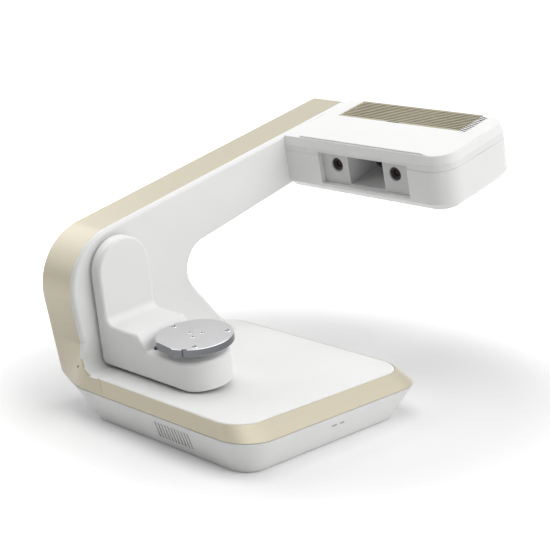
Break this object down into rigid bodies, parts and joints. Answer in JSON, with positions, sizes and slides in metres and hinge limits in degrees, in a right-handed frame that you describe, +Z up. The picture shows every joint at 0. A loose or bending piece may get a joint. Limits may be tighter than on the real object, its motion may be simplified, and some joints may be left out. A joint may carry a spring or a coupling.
{
  "type": "desktop 3d scanner",
  "caption": "Desktop scanner: tapered base, side slab leaning over it with a camera head, and a tilting L-shaped arm that carries a turntable.",
  "frame": {"origin": "under the middle of the whole, on the surface it stands on", "axes": "+X to the right, towards the head's free end; +Y to the back; +Z up"},
  "size_m": [0.26, 0.385, 0.2537],
  "materials": {
    "white_abs": "satin",
    "champagne_aluminium": "satin metallic",
    "champagne_plastic": "satin",
    "turned_steel": "turned",
    "zinc_steel": "plain",
    "screw_steel": "satin",
    "bearing_steel": "ground",
    "cast_aluminium": "bead blasted",
    "motor_case": "matt",
    "dark_plastic": "matt",
    "circuit_board": "solder mask",
    "nickel_socket": "plated",
    "clear_light": "frosted",
    "coated_glass": "coated",
    "black_rubber": "matt",
    "belt_rubber": "matt"
  },
  "bodies": {
    "base": {"base_tub": "white_abs", "rubber_feet": "black_rubber", "chassis_plate": "zinc_steel", "chassis_screws": "screw_steel", "status_lights": "clear_light", "rear_panel": "dark_plastic", "power_inlet": "dark_plastic", "usb_port": "nickel_socket", "switch_frame": "dark_plastic", "main_board": "circuit_board", "base_band": "champagne_aluminium", "base_cover": "white_abs", "slab_ribbon": "champagne_aluminium", "slab_shell_left": "white_abs", "slab_shell_right": "white_abs", "shell_screws": "screw_steel", "slab_frame": "cast_aluminium", "frame_bolts": "screw_steel", "tilt_bearings": "bearing_steel", "tilt_belt": "belt_rubber", "tilt_motor": "motor_case", "head_shell": "white_abs", "head_cover": "white_abs", "head_grille": "champagne_plastic", "window_bezel": "white_abs", "camera_plate_left": "white_abs", "camera_plate_right": "white_abs", "camera_left": "dark_plastic", "camera_right": "dark_plastic", "lens_left": "coated_glass", "lens_right": "coated_glass", "projector_bay": "white_abs", "projector": "dark_plastic", "projector_lens": "coated_glass", "optics_bench": "cast_aluminium", "fan_frame": "dark_plastic", "heat_sink": "cast_aluminium", "head_board": "circuit_board"},
    "swing_arm": {"swing_shell": "white_abs", "swing_cover": "dark_plastic", "index_pin": "dark_plastic", "turntable_bearing": "bearing_steel", "turntable_motor": "motor_case", "tilt_shaft": "bearing_steel", "tilt_pulley": "cast_aluminium"},
    "turntable": {"turntable_spindle": "bearing_steel", "turntable_disc": "turned_steel", "disc_screws": "screw_steel", "rim_studs": "dark_plastic"},
    "motor_pulley": {"motor_pulley": "cast_aluminium"},
    "fan_rotor": {"fan_rotor": "dark_plastic"},
    "switch_rocker": {"switch_rocker": "dark_plastic"}
  },
  "joints": [
    {"name": "arm_tilt", "type": "hinge", "parent": "base", "child": "swing_arm", "pos_m": [-0.08, -0.14368, 0.13229], "axis": [1, 0, 0], "range_deg": [-52.5, 37.5]},
    {"name": "turntable_turn", "type": "hinge", "parent": "swing_arm", "child": "turntable", "pos_m": [0.0128, -0.13789, 0.08828], "axis": [0, -0.1305, 0.9914], "continuous": true},
    {"name": "motor_turn", "type": "hinge", "parent": "base", "child": "motor_pulley", "pos_m": [-0.094, -0.11084, 0.0797], "axis": [1, 0, 0], "range_deg": [-166, 119]},
    {"name": "fan_turn", "type": "hinge", "parent": "base", "child": "fan_rotor", "pos_m": [0.07, 0.16062, 0.2329], "axis": [0, -0.2526, 0.9676], "continuous": true},
    {"name": "power_switch", "type": "hinge", "parent": "base", "child": "switch_rocker", "pos_m": [-0.024, 0.00651, 0.0167], "axis": [1, 0, 0], "range_deg": [-16, 0]}
  ],
  "couplings": [
    {"joint": "motor_turn", "follows": "arm_tilt", "ratio": 3.1429}
  ]
}
